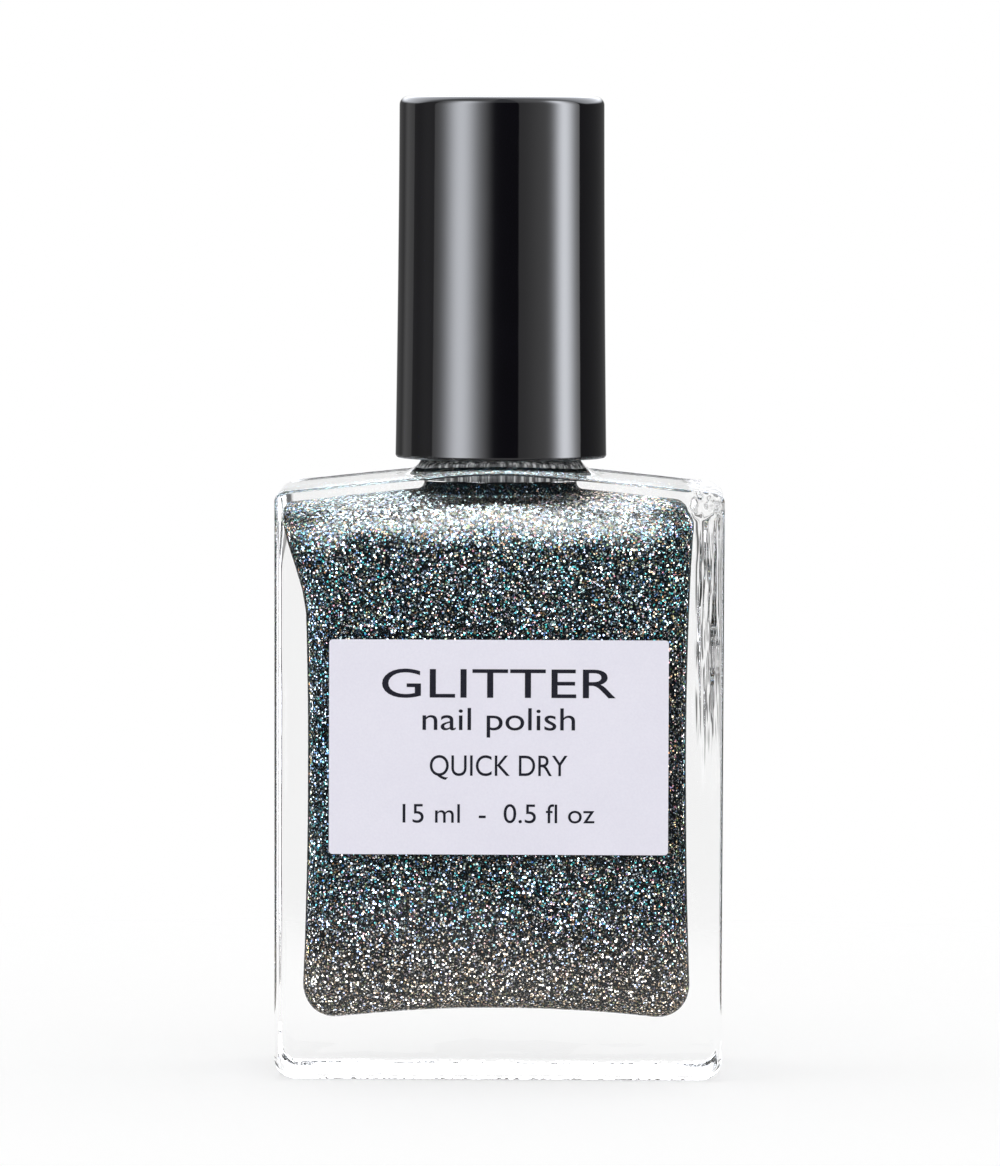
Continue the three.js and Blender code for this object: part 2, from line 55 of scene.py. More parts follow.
def box_mm(node):
    low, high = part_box(node)
    return Vector(low) / MM, Vector(high) / MM


_, bottle_high = box_mm("glass_bottle")
cap_low, cap_high = box_mm("overcap")
inner_low, inner_high = box_mm("inner_cap")
washer_low, washer_high = box_mm("seal_washer")
stem_low, stem_high = box_mm("brush_stem")
bristle_low, bristle_high = box_mm("bristles")
label_low, label_high = box_mm("front_label")

HALF_WIDTH = bottle_high.x
HALF_DEPTH = bottle_high.y
NECK_TOP = bottle_high.z
FRONT_CORNER_R = 0.35
BACK_LEFT_CORNER_R = 0.35
BACK_RIGHT_CORNER_R = 0.4
HEEL_END_R = 1.6
HEEL_EDGE_R = 0.5
FOOT_INSET = 0.1
SHOULDER_Z = 49.5
SHOULDER_SLOPE = 0.115
SHOULDER_RIDGE = 5
SHOULDER_CROWN = 0.05
SHOULDER_END_R = 0.8
SHOULDER_EDGE_R = 0.3
EDGE_BLEND = 1.1
EDGE_BEAD = 0.13  # fine raised line that the mould leaves along the shoulder's back edge
COLLAR_R = 6.4
COLLAR_TOP = 51.2
FILLET_WIDTH = 2.6
FILLET_RISE = 1.6
NECK_ROOT_R = 5.75
NECK_CREST_R = 6.5
BORE_R = 4.2
THREAD_PITCH = 2.117
THREAD_STEP = 0.12  # height between the rings of a threaded wall
THROAT_HALF_WIDTH = 6.2
THROAT_HALF_DEPTH = 4.6
THROAT_TOP = 49.6
THROAT_SHOULDER = 48.9
THROAT_FLARE = 0.5
RECESS = 0.35  # depth of the hollow in the underside

WAIST = 15.25
LEFT_WAIST = 15.6
WAIST_Z = 27
FLARE = 0.55
LOWER_FLARE = 0.3
FLARE_SPAN = 18
LEFT_BULGE = 1.6
BULGE_START = 37.5
BULGE_FULL = 46.3
CAVITY_HALF_DEPTH = 6.1
CAVITY_CORNER_R = 2.8
CEILING_Z = 48.25
VAULT = 4
VAULT_START = math.radians(30)
END_R = 1.6
LEFT_END_R = 0.6
FLOOR_Z = 4.5
CAVITY_HEEL_R = 3
PUSH_UP = 1
ROOF_LEVEL = CEILING_Z - 3  # the roof's rings take their width from the walls at this height
LEVEL_Z = 48.2
WETTING = 0.03  # the lacquer reaches this far into the glass, so that no air shows between them

# ------------------------------------------------------------------ rings and skins


def smoothstep(x, low, high):
    t = min(1.0, max(0.0, (x - low) / (high - low)))
    return t * t * (3 - 2 * t)


def skin(name, rings, material, smooth=True):
    """A closed mesh through rings of equal point count. A ring of one point is a pole."""
    points = []
    starts = []
    faces = []
    for ring in rings:
        starts.append(len(points))
        points.extend(ring)
    for k in range(len(rings) - 1):
        below, above = len(rings[k]), len(rings[k + 1])
        count = max(below, above)
        for i in range(count):
            j = (i + 1) % count
            a, b = starts[k] + (i if below > 1 else 0), starts[k] + (j if below > 1 else 0)
            c, d = starts[k + 1] + (i if above > 1 else 0), starts[k + 1] + (j if above > 1 else 0)
            if a == b:
                faces.append((a, d, c))
            elif c == d:
                faces.append((a, b, c))
            else:
                faces.append((a, b, d, c))
    return solid(name, points, faces, material, smooth)


def solid(name, points, faces, material, smooth=True):
    mesh = bpy.data.meshes.new(name)
    mesh.from_pydata([(x * MM, y * MM, z * MM) for x, y, z in points], [], faces)
    mesh.validate()
    if smooth:
        mesh.shade_smooth()
    else:
        mesh.shade_flat()
    piece = bpy.data.objects.new(name, mesh)
    bpy.context.scene.collection.objects.link(piece)
    piece.data.materials.append(material)
    return piece


def circle(radius, z, count=128):
    ring = []
    for i in range(count):
        angle = TAU * i / count
        r = radius(angle) if callable(radius) else radius
        x, y = r * math.cos(angle), r * math.sin(angle)
        ring.append((x, y, z(x, y) if callable(z) else z))
    return ring


SIDE_SHARES = [0, 0.25, 0.5, 0.75, 0.93, 0.99]
FRONT_SHARES = [0.995, 0.965] + [0.9 - 0.06 * k for k in range(15)]


def quarter_outline(half_width, half_depth, corner):
    straight_x, straight_y = half_width - corner, half_depth - corner
    points = [(half_width, straight_y * share) for share in SIDE_SHARES]
    for i in range(9):
        angle = QUARTER * i / 8
        points.append((straight_x + corner * math.cos(angle), straight_y + corner * math.sin(angle)))
    return points + [(straight_x * share, half_depth) for share in FRONT_SHARES]


def rectangle(right, left, half_depth, corner, height):
    """A rounded rectangle of 128 points. Its left half may be wider than its right half.

    corner is one radius, or three: both front corners, back left, back right.
    """
    front, back_left, back_right = corner if isinstance(corner, tuple) else (corner, corner, corner)
    flat = quarter_outline(right, half_depth, back_right) + [(0, half_depth)]
    flat += [(-x, y) for x, y in reversed(quarter_outline(left, half_depth, back_left)[1:])]
    flat += [(-x, -y) for x, y in quarter_outline(left, half_depth, front)] + [(0, -half_depth)]
    flat += [(x, -y) for x, y in reversed(quarter_outline(right, half_depth, front)[1:])]
    return [(x, y, height(x, y) if callable(height) else height) for x, y in flat]


def between(start, end, share, height):
    ring = []
    for p, q in zip(start, end):
        x, y = p[0] + (q[0] - p[0]) * share, p[1] + (q[1] - p[1]) * share
        ring.append((x, y, height(x, y)))
    return ring


def arc(centre_r, centre_z, radius, start, end, steps):
    """Points along an arc in a profile, angles in degrees."""
    points = []
    for i in range(steps + 1):
        angle = math.radians(start + (end - start) * i / steps)
        points.append((centre_r + radius * math.cos(angle), centre_z + radius * math.sin(angle)))
    return points


def turned(name, profile, material, steps):
    """A body of revolution. The profile goes from the foot up the outside; a radius of 0 is a pole."""
    rings = [[(0, 0, z)] if r == 0 else circle(r, z, steps) for r, z in profile]
    return skin(name, rings, material)


# ------------------------------------------------------------------ node helpers


def node(tree, kind, inputs=None, **settings):
    made = tree.nodes.new(kind)
    for key, value in settings.items():
        setattr(made, key, value)
    for key, value in (inputs or {}).items():
        feed(tree, made.inputs[key], value)
    return made


def feed(tree, socket, value):
    if isinstance(value, bpy.types.NodeSocket):
        tree.links.new(value, socket)
    else:
        socket.default_value = value


def maths(tree, operation, a, b=0.0, clamp=False):
    made = node(tree, "ShaderNodeMath", {0: a, 1: b}, operation=operation)
    made.use_clamp = clamp
    return made.outputs[0]


def times(tree, a, b):
    return maths(tree, "MULTIPLY", a, b)


def plus(tree, a, b):
    return maths(tree, "ADD", a, b)


def vector_maths(tree, operation, a, b):
    return node(tree, "ShaderNodeVectorMath", {0: a, 1: b}, operation=operation).outputs[0]


def scaled(tree, vector, scale):
    return node(tree, "ShaderNodeVectorMath", {0: vector, "Scale": scale}, operation="SCALE").outputs[0]


def split(tree, vector):
    return node(tree, "ShaderNodeSeparateXYZ", {0: vector}).outputs


def stretched(tree, place, scale):
    return node(tree, "ShaderNodeMapping", {"Vector": place, "Scale": scale}).outputs[0]


def ramp_up(tree, value, low, high, start=0.0, end=1.0, kind="SMOOTHSTEP"):
    """Goes from start to end as value goes from low to high. low may be above high."""
    inputs = {0: value, 1: low, 2: high, 3: start, 4: end}
    return node(tree, "ShaderNodeMapRange", inputs, interpolation_type=kind).outputs[0]


def mix_colour(tree, share, a, b):
    made = node(tree, "ShaderNodeMix", data_type="RGBA", blend_type="MIX")
    feed(tree, made.inputs["Factor"], share)
    feed(tree, made.inputs[6], a)
    feed(tree, made.inputs[7], b)
    return made.outputs[2]


def mix_value(tree, share, a, b):
    made = node(tree, "ShaderNodeMix", data_type="FLOAT")
    feed(tree, made.inputs["Factor"], share)
    feed(tree, made.inputs[2], a)
    feed(tree, made.inputs[3], b)
    return made.outputs[0]


def colour_ramp(tree, value, stops, mode="LINEAR"):
    made = node(tree, "ShaderNodeValToRGB", {0: value})
    made.color_ramp.interpolation = mode
    elements = made.color_ramp.elements
    while len(elements) < len(stops):
        elements.new(0.5)
    for element, (place, colour) in zip(elements, stops):
        element.position = place
        element.color = (*colour, 1)
    return made.outputs[0]


def noise(tree, coordinates, scale, detail, roughness):
    inputs = {"Vector": coordinates, "Scale": scale, "Detail": detail, "Roughness": roughness}
    return node(tree, "ShaderNodeTexNoise", inputs).outputs[0]


def bump(tree, height, distance, strength, normal=None):
    made = node(tree, "ShaderNodeBump", {"Height": height, "Distance": distance, "Strength": strength})
    if normal is not None:
        feed(tree, made.inputs["Normal"], normal)
    return made.outputs[0]


def new_material(name, **sockets):
    """A material with one Principled shader. Keys are its socket names with _ for spaces."""
    material = bpy.data.materials.new(name)
    material.use_nodes = True
    tree = material.node_tree
    tree.nodes.clear()
    shader = node(tree, "ShaderNodeBsdfPrincipled")
    output = node(tree, "ShaderNodeOutputMaterial")
    tree.links.new(shader.outputs[0], output.inputs[0])
    for key, value in sockets.items():
        feed(tree, shader.inputs[key.replace("_", " ")], value)
    place = node(tree, "ShaderNodeTexCoord").outputs["Object"]
    return material, tree, shader, place


# ------------------------------------------------------------------ materials

# Where each ramp of the materials starts and ends, in metres as the meshes are
STREAKS_X = (0.0155, 0.0168)
STREAKS_Y = (0.0062, 0.0078)
STREAKS_Z = (0.020, 0.034)
LUMPS_X = (0.0145, 0.0172)
LUMPS_Z = (0.0455, 0.0468)
STIPPLE_Z = (0.0004, 0.0002)
# Heights where flakes crowd under the roof and their colour is painted lighter, a painted highlight
CROWD_AND_HIGHLIGHT_Z = (0.0443, 0.0471)
LEFT_END_X = (-0.0168, -0.012)
RIGHT_END_X = (0.0148, 0.011)
# Heights of the painted shade under the cap, in the throat
THROAT_SHADE_Z = (0.0472, 0.0476)
LEAN_Z = (0.0464, 0.0471)
COOL_Z = (0.0065, 0.016)
WARM_Z = (0.0145, 0.0085)
SHADE_HALF_WIDTH = 0.0064  # the throat's oval, where no flakes crowd and the lacquer is painted dark as shade under the cap
SHADE_HALF_DEPTH = 0.0048
BIG_FLAKE = 0.00018
SMALL_FLAKE = 0.00013
FLAKE_COLOURS = [
    (0.0, (0.04, 0.45, 0.42)), (0.10, (0.12, 0.62, 0.68)), (0.18, (0.08, 0.28, 0.70)),
    (0.26, (0.34, 0.58, 0.95)), (0.36, (0.86, 0.93, 0.95)), (0.50, (0.95, 0.95, 0.92)),
    (0.64, (0.46, 0.78, 0.26)), (0.70, (0.98, 0.80, 0.34)), (0.80, (0.98, 0.46, 0.18)),
    (0.88, (0.92, 0.38, 0.50)), (0.93, (0.44, 0.36, 0.95)), (0.97, (0.98, 0.74, 0.48)),
]


def glass_material():
    """Clear glass with faces that roll a little and a fine stipple on the underside.

    The upright corner at the back right carries streaks, and the shoulder above it is lumpy.
    """
    material, tree, shader, place = new_material(
        "clear_glass", Base_Color=(0.985, 0.986, 0.986, 1), Roughness=0.0, IOR=1.5, Transmission_Weight=1.0
    )
    x, y, z = split(tree, place)
    rolled = bump(tree, noise(tree, place, 110, 1.5, 0.4), 0.00035, 0.35)
    at_corner = times(tree, ramp_up(tree, x, *STREAKS_X), ramp_up(tree, y, *STREAKS_Y))
    at_corner = times(tree, at_corner, ramp_up(tree, z, *STREAKS_Z))
    streaks = noise(tree, stretched(tree, place, (1, 1, 0.07)), 1500, 2, 0.5)
    streaked = bump(tree, streaks, 0.0013, at_corner, rolled)
    at_shoulder = times(tree, ramp_up(tree, x, *LUMPS_X), ramp_up(tree, z, *LUMPS_Z))
    lumpy = bump(tree, noise(tree, place, 480, 1.5, 0.5), 0.0017, at_shoulder, streaked)
    stipple = node(tree, "ShaderNodeTexVoronoi", {"Vector": place, "Scale": 2600}).outputs["Distance"]
    pitted = bump(tree, stipple, 0.00012, ramp_up(tree, z, *STIPPLE_Z), lumpy)
    feed(tree, shader.inputs["Normal"], pitted)
    return material


def flake_layer(tree, place, size, cover, crowd_and_painted_highlight):
    """Flakes of uneven size in random places: (mask, colour made of the flake's three random numbers)."""
    soften = 0.06
    cells = node(tree, "ShaderNodeTexVoronoi", {"Vector": place, "Scale": 1 / size})
    dice = node(tree, "ShaderNodeSeparateColor", {0: cells.outputs["Color"]}).outputs[2]
    reach = ramp_up(tree, dice, 0.0, 1.0, cover * 0.55, cover * 1.3, "LINEAR")
    reach = plus(tree, reach, times(tree, crowd_and_painted_highlight, 0.35))
    inside = maths(tree, "SUBTRACT", reach, cells.outputs["Distance"])
    return ramp_up(tree, inside, -soften, soften), cells.outputs["Color"]


def under_roof(tree, place, x, y, z):
    """Masks of the crowd of flakes under the cavity's roof, and of the throat above it.

    The flakes float up there, less so at the cavity's two ends. Where they crowd, their colour is also
    painted lighter, a painted highlight of the light from above. In the throat the lacquer is painted
    dark, as painted shade under the cap.
    """
    level = plus(tree, z, times(tree, noise(tree, place, 260, 2, 0.5), 0.0030))
    wide, deep = maths(tree, "DIVIDE", x, SHADE_HALF_WIDTH), maths(tree, "DIVIDE", y, SHADE_HALF_DEPTH)
    from_axis = maths(tree, "SQRT", plus(tree, times(tree, wide, wide), times(tree, deep, deep)))
    # Painted shade of the cap over the throat's oval
    throat_painted_shade = times(tree, ramp_up(tree, from_axis, 1.1, 0.98), ramp_up(tree, z, *THROAT_SHADE_Z))
    left_end = ramp_up(tree, x, *LEFT_END_X, 0.4, 1.0)
    right_end = ramp_up(tree, x, *RIGHT_END_X, 0.2, 1.0)
    crowd_and_painted_highlight = times(tree, ramp_up(tree, level, *CROWD_AND_HIGHLIGHT_Z), maths(tree, "SUBTRACT", 1.0, throat_painted_shade))
    return times(tree, crowd_and_painted_highlight, times(tree, left_end, right_end)), throat_painted_shade


def flake_facing(tree, dice, covered, crowd_and_painted_highlight, tilt, x, z):
    """Normals of the flakes: the wall's own direction, tilted at random.

    Under the roof they lean back, more so near its top, and catch the light from above.
    """
    around = vector_maths(tree, "SUBTRACT", dice, (0.5, 0.5, 0.5))
    around = vector_maths(tree, "MULTIPLY", around, (1.7, 1.0, 0.8))
    wall = node(tree, "ShaderNodeNewGeometry").outputs["Normal"]
    wall_y = split(tree, wall)[1]
    outward = ramp_up(tree, wall_y, -0.03, 0.03, -0.95, 0.95, "LINEAR")
    run = maths(tree, "SQRT", plus(tree, times(tree, x, x), (SHOULDER_RIDGE * MM) ** 2))
    below_ridge = times(tree, maths(tree, "SUBTRACT", run, SHOULDER_RIDGE * MM), SHOULDER_SLOPE)
    lean = ramp_up(tree, plus(tree, z, below_ridge), *LEAN_Z, 0.31, 0.66)
    floating = node(tree, "ShaderNodeCombineXYZ", {0: 0.0, 1: outward, 2: lean}).outputs[0]
    frontal = ramp_up(tree, maths(tree, "ABSOLUTE", wall_y), 0.15, 0.6, 0.0, 0.9)
    straight = node(tree, "ShaderNodeCombineXYZ", {0: 0.0, 1: outward, 2: 0.0}).outputs[0]
    facing = mix_colour(tree, frontal, wall, straight)
    facing = mix_colour(tree, times(tree, crowd_and_painted_highlight, 0.95), facing, floating)
    total = vector_maths(tree, "ADD", facing, scaled(tree, around, times(tree, covered, tilt)))
    return node(tree, "ShaderNodeVectorMath", {0: total}, operation="NORMALIZE").outputs[0]


def glitter(tree, shader, place, tilt=0.42):
    """Drives a Principled shader as clear dark lacquer full of fine metallic and rainbow flakes."""
    x, y, z = split(tree, place)
    crowd_and_painted_highlight, throat_painted_shade = under_roof(tree, place, x, y, z)
    upper, upper_dice = flake_layer(tree, place, BIG_FLAKE, 0.42, crowd_and_painted_highlight)
    lower, lower_dice = flake_layer(tree, place, SMALL_FLAKE, 0.40, crowd_and_painted_highlight)
    covered = maths(tree, "MAXIMUM", upper, lower)
    dice = mix_colour(tree, upper, lower_dice, upper_dice)
    parts = node(tree, "ShaderNodeSeparateColor", {0: dice})
    chance, second = parts.outputs[0], parts.outputs[1]
    # Cool tints gather in the upper half, warm and brighter ones near the foot.
    pick = maths(tree, "ADD", chance, ramp_up(tree, z, *COOL_Z, 0.22, -0.06), clamp=True)
    near_foot = ramp_up(tree, z, *WARM_Z)
    # Under the roof the tint is pushed toward silver white, a painted highlight of light from above.
    silver = times(tree, times(tree, second, second), 0.75)
    silver = maths(tree, "MAXIMUM", times(tree, crowd_and_painted_highlight, 0.6), silver)
    tint = colour_ramp(tree, pick, FLAKE_COLOURS, "CONSTANT")
    tint = mix_colour(tree, silver, tint, (0.95, 0.93, 0.90, 1))
    tint = mix_colour(tree, times(tree, near_foot, 0.3), tint, (0.98, 0.78, 0.52, 1))
    # Under the roof the lower flakes and the dimmest ones are painted brighter, a painted highlight.
    depth = mix_value(tree, upper, mix_value(tree, crowd_and_painted_highlight, 0.10, 0.7), 1.0)
    dimmest = mix_value(tree, crowd_and_painted_highlight, mix_value(tree, near_foot, 0.17, 0.31), 0.4)
    glint = mix_value(tree, maths(tree, "POWER", second, 1.5), dimmest, 1.0)
    # In the throat's oval the flakes are painted dark, as painted shade under the cap.
    shade = times(tree, depth, times(tree, glint, ramp_up(tree, throat_painted_shade, 0.0, 1.0, 1.0, 0.14)))
    # Under the roof the gaps between flakes are painted grey, part of the same painted highlight.
    gap = mix_colour(tree, crowd_and_painted_highlight, (0.0003, 0.003, 0.005, 1), (0.05, 0.055, 0.055, 1))
    feed(tree, shader.inputs["Base Color"], mix_colour(tree, times(tree, shade, covered), gap, tint))
    feed(tree, shader.inputs["Metallic"], covered)
    feed(tree, shader.inputs["Normal"], flake_facing(tree, dice, covered, crowd_and_painted_highlight, tilt, x, z))


def lacquer_material():
    material, tree, shader, place = new_material(
        "glitter_lacquer", Roughness=0.18, IOR=1.5, Specular_IOR_Level=0.03
    )
    glitter(tree, shader, place)
    return material


def wet_lacquer_material():
    material, tree, shader, place = new_material(
        "wet_lacquer", Roughness=0.28, IOR=1.5, Coat_Weight=1.0, Coat_Roughness=0.04
    )
    glitter(tree, shader, place, tilt=0.5)
    return material


def film_material():
    """Thin lacquer film dried in runs on the wall of the neck."""
    material, tree, shader, place = new_material("lacquer_film", Roughness=0.35, IOR=1.5)
    runs = noise(tree, stretched(tree, place, (1, 1, 0.06)), 3600, 2, 0.6)
    greys = [(0.3, (0.015, 0.016, 0.016)), (0.48, (0.13, 0.13, 0.13)), (0.64, (0.75, 0.75, 0.74))]
    feed(tree, shader.inputs["Base Color"], colour_ramp(tree, runs, greys))
    feed(tree, shader.inputs["Normal"], bump(tree, runs, 0.0002, 0.6))
    return material


def label_material():
    material, tree, shader, place = new_material("label_film", IOR=1.45, Specular_IOR_Level=0.35)
    fibre = noise(tree, place, 5200, 4, 0.7)
    cloud = noise(tree, place, 260, 3, 0.5)
    mottle = plus(tree, times(tree, fibre, 0.7), times(tree, cloud, 0.3))
    colour = colour_ramp(tree, mottle, [(0.3, (0.765, 0.75, 0.845)), (0.7, (0.825, 0.81, 0.895))])
    feed(tree, shader.inputs["Base Color"], colour)
    feed(tree, shader.inputs["Roughness"], ramp_up(tree, cloud, 0.3, 0.7, 0.5, 0.62))
    feed(tree, shader.inputs["Normal"], bump(tree, fibre, 0.00002, 0.5))
    return material


def print_material():
    material, tree, shader, place = new_material(
        "label_ink", Roughness=0.5, IOR=1.45, Specular_IOR_Level=0.15
    )
    speckle = noise(tree, place, 7000, 3, 0.6)
    inks = [(0.3, (0.004, 0.004, 0.008)), (0.75, (0.014, 0.014, 0.024))]
    feed(tree, shader.inputs["Base Color"], colour_ramp(tree, speckle, inks))
    feed(tree, shader.inputs["Normal"], bump(tree, speckle, 0.00001, 0.5))
    return material


def cap_material():
    """Piano-black moulding, with a trace of orange peel and a few fine wipe marks."""
    material, tree, shader, place = new_material("cap_gloss", IOR=1.5)
    wipes = noise(tree, stretched(tree, place, (1, 1, 0.25)), 900, 5, 0.65)
    cloud = noise(tree, place, 130, 3, 0.5)
    blacks = [(0.3, (0.0009, 0.0007, 0.0020)), (0.7, (0.0018, 0.0015, 0.0034))]
    feed(tree, shader.inputs["Base Color"], colour_ramp(tree, cloud, blacks))
    feed(tree, shader.inputs["Roughness"], ramp_up(tree, wipes, 0.35, 0.75, 0.03, 0.07))
    feed(tree, shader.inputs["Normal"], bump(tree, noise(tree, place, 420, 1.5, 0.4), 0.00002, 0.25))
    return material


def moulded_material(name, dark, pale, roughness, grain):
    material, tree, shader, place = new_material(name, IOR=1.48)
    fine = noise(tree, place, grain, 4, 0.6)
    broad = noise(tree, place, grain * 0.08, 2, 0.5)
    blend = plus(tree, times(tree, fine, 0.5), times(tree, broad, 0.5))
    feed(tree, shader.inputs["Base Color"], colour_ramp(tree, blend, [(0.35, dark), (0.65, pale)]))
    feed(tree, shader.inputs["Roughness"], ramp_up(tree, broad, 0.3, 0.7, roughness - 0.06, roughness + 0.08))
    feed(tree, shader.inputs["Normal"], bump(tree, fine, 0.00003, 0.4))
    return material


def metal_material(name, dark, pale, roughness, grain, stretch=(1, 1, 1)):
    material, tree, shader, place = new_material(name, Metallic=1.0)
    marks = noise(tree, stretched(tree, place, stretch), grain, 4, 0.65)
    feed(tree, shader.inputs["Base Color"], colour_ramp(tree, marks, [(0.3, dark), (0.7, pale)]))
    feed(tree, shader.inputs["Roughness"], ramp_up(tree, marks, 0.3, 0.7, roughness * 0.7, roughness * 1.4))
    feed(tree, shader.inputs["Normal"], bump(tree, marks, 0.00001, 0.35))
    return material


glass = glass_material()
lacquer_look = lacquer_material()
wet_lacquer = wet_lacquer_material()
film_look = film_material()
label_look = label_material()
ink = print_material()
cap_gloss = cap_material()
closure_plastic = moulded_material(
    "closure_plastic", (0.008, 0.008, 0.010), (0.020, 0.020, 0.023), 0.42, 5000
)
stem_plastic = moulded_material("stem_plastic", (0.010, 0.010, 0.012), (0.022, 0.022, 0.026), 0.28, 3500)
seal_foam = moulded_material("seal_foam", (0.70, 0.69, 0.65), (0.84, 0.83, 0.79), 0.62, 9000)
nylon = moulded_material("bristle_nylon", (0.016, 0.016, 0.019), (0.05, 0.05, 0.055), 0.4, 9000)
brass = metal_material("anchor_brass", (0.48, 0.36, 0.15), (0.66, 0.50, 0.24), 0.25, 4000, (1, 1, 0.2))
steel = metal_material("ball_steel", (0.50, 0.51, 0.52), (0.66, 0.67, 0.68), 0.14, 1500)

# ------------------------------------------------------------------ glass bottle


def slope_fall(x):
    return SHOULDER_SLOPE * (math.hypot(x, SHOULDER_RIDGE) - SHOULDER_RIDGE)


WALL_TOP = SHOULDER_Z - SHOULDER_END_R - slope_fall(HALF_WIDTH) - SHOULDER_CROWN - 0.3


def shoulder_height(x, y):
    slope = SHOULDER_Z - slope_fall(x) - SHOULDER_CROWN * (y / HALF_DEPTH) ** 2
    outside = max(0.0, math.hypot(x, y) - COLLAR_R)
    reach = max(0.0, 1 - outside / FILLET_WIDTH)
    return slope + FILLET_RISE * (1 - math.sqrt(max(0.0, 1 - reach**2)))


def ceiling_height(x, y, inset=0.0):
    reach = min(1.0, abs(y) / (CAVITY_HALF_DEPTH - inset))
    return CEILING_Z - inset - slope_fall(x) - VAULT * (1 - math.sqrt(1 - reach**2))


def floor_height(x):
    return FLOOR_Z + PUSH_UP * (1 - min(1.0, abs(x) / WAIST) ** 2)


def cavity_half_width(z, on_left):
    flare = (FLARE if z > WAIST_Z else LOWER_FLARE) * ((z - WAIST_Z) / FLARE_SPAN) ** 2
    if on_left:
        return LEFT_WAIST + flare + LEFT_BULGE * smoothstep(z, BULGE_START, BULGE_FULL)
    return WAIST + flare


def cavity_ring(z, inset, height):
    return rectangle(
        cavity_half_width(z, False) - inset,
        cavity_half_width(z, True) - inset,
        CAVITY_HALF_DEPTH - inset,
        max(0.6, CAVITY_CORNER_R - inset),
        height,
    )


def roof_ring(share, inset):
    drawn_in = 1 - math.cos(QUARTER * share)
    right = cavity_half_width(ROOF_LEVEL, False) - inset - END_R * drawn_in
    left = cavity_half_width(ROOF_LEVEL, True) - inset - LEFT_END_R * drawn_in
    corner = max(0.6, CAVITY_CORNER_R - inset)

    def height(x, y):
        end, end_r = (left, LEFT_END_R) if x < 0 else (right, END_R)
        near_end = 1 - smoothstep(end - abs(x), 0, corner)
        return ceiling_height(x, y, inset) - end_r * (1 - math.sin(QUARTER * share)) * near_end

    half_depth = (CAVITY_HALF_DEPTH - inset) * math.cos(VAULT_START * share)
    return rectangle(right, left, half_depth, corner, height)


def cavity_rings(inset):
    """From the rim of the roof down to the middle of the floor, drawn in by inset."""
    rings = [roof_ring(1 - i / 10, inset) for i in range(11)]
    rim = rings[-1]
    wall_top = 41.5
    for i in range(1, 9):
        share = i / 8
        ring = []
        for x, y, z in rim:
            level = z + (wall_top - z) * share
            on_left = x < 0
            at_roof = cavity_half_width(ROOF_LEVEL, on_left) - inset
            wide = (cavity_half_width(level, on_left) - inset) / at_roof
            ring.append((x * wide, y, level))
        rings.append(ring)
    heel_top = FLOOR_Z + CAVITY_HEEL_R
    for i in range(1, 19):
        z = wall_top + (heel_top + 1.2 - wall_top) * i / 18
        rings.append(cavity_ring(z, inset, z))
    for i in range(13):
        angle = QUARTER * i / 12
        drawn_in = CAVITY_HEEL_R * (1 - math.cos(angle))
        rise = inset + CAVITY_HEEL_R * (1 - math.sin(angle))
        rings.append(cavity_ring(heel_top, inset + drawn_in, lambda x, y, up=rise: floor_height(x) + up))
    heel = rings[-1]
    middle = circle(0.5, 0)
    for share in (0.06, 0.2, 0.4, 0.6, 0.8, 1):
        rings.append(between(heel, middle, share, lambda x, y: floor_height(x) + inset))
    return rings + [[(0, 0, floor_height(0) + inset)]]


def body_corners(z):
    """The corners at the back grow rounder toward the shoulder, unevenly so on the right."""
    waves = 1 + 0.05 * math.sin(z * 0.7) + 0.02 * math.sin(z * 2.3 + 1)
    back_left = BACK_LEFT_CORNER_R + 1.4 * smoothstep(z, 40.5, 46.5)
    return FRONT_CORNER_R, back_left, BACK_RIGHT_CORNER_R + 1.5 * smoothstep(z, 22, 44) * waves


def body_ring(inset, z, foot):
    half = HALF_WIDTH - inset - foot
    return rectangle(half, half, HALF_DEPTH - inset, tuple(max(0.3, r - inset) for r in body_corners(z)), z)


def edge_ring(share, half_width, end_r, edge_r, wall_z, height):
    """A ring of a rounded edge of the body: share is 0 at the walls and 1 on the flat face."""
    angle = QUARTER * share
    drawn_in = 1 - math.cos(angle)
    half = half_width - end_r * drawn_in

    def level(x, y):
        near_end = 1 - smoothstep(half - abs(x), 0, EDGE_BLEND)
        radius = edge_r + (end_r - edge_r) * near_end
        return height(x, y, radius * (1 - math.sin(angle)))

    return rectangle(half, half, HALF_DEPTH - edge_r * drawn_in, body_corners(wall_z), level)


def heel_ring(share):
    return edge_ring(share, HALF_WIDTH - FOOT_INSET, HEEL_END_R, HEEL_EDGE_R, 0, lambda x, y, rise: rise)


def shoulder_edge_ring(share):
    bead = EDGE_BEAD * smoothstep(share, 0.4, 0.8) * (1 - smoothstep(share, 0.8, 1.0))

    def level(x, y, drop):
        return shoulder_height(x, y) - drop + bead * smoothstep(y, HALF_DEPTH - 1.5, HALF_DEPTH - 0.7)

    return edge_ring(share, HALF_WIDTH, SHOULDER_END_R, SHOULDER_EDGE_R, WALL_TOP, level)


def thread_radius(angle, z, root, crest, foot, turns, half_root, half_crest):
    """Radius of a wall with a thread ridge, at an angle and height."""
    best = 0.0
    for turn in range(turns + 1):
        run = angle / TAU + turn
        if run > turns:
            continue
        away = abs(z - foot - THREAD_PITCH * run)
        ridge = 1 - smoothstep(away, half_crest, half_root)
        ends = min(1.0, run / 0.2, (turns - run) / 0.2)
        best = max(best, ridge * ends)
    return root + (crest - root) * best


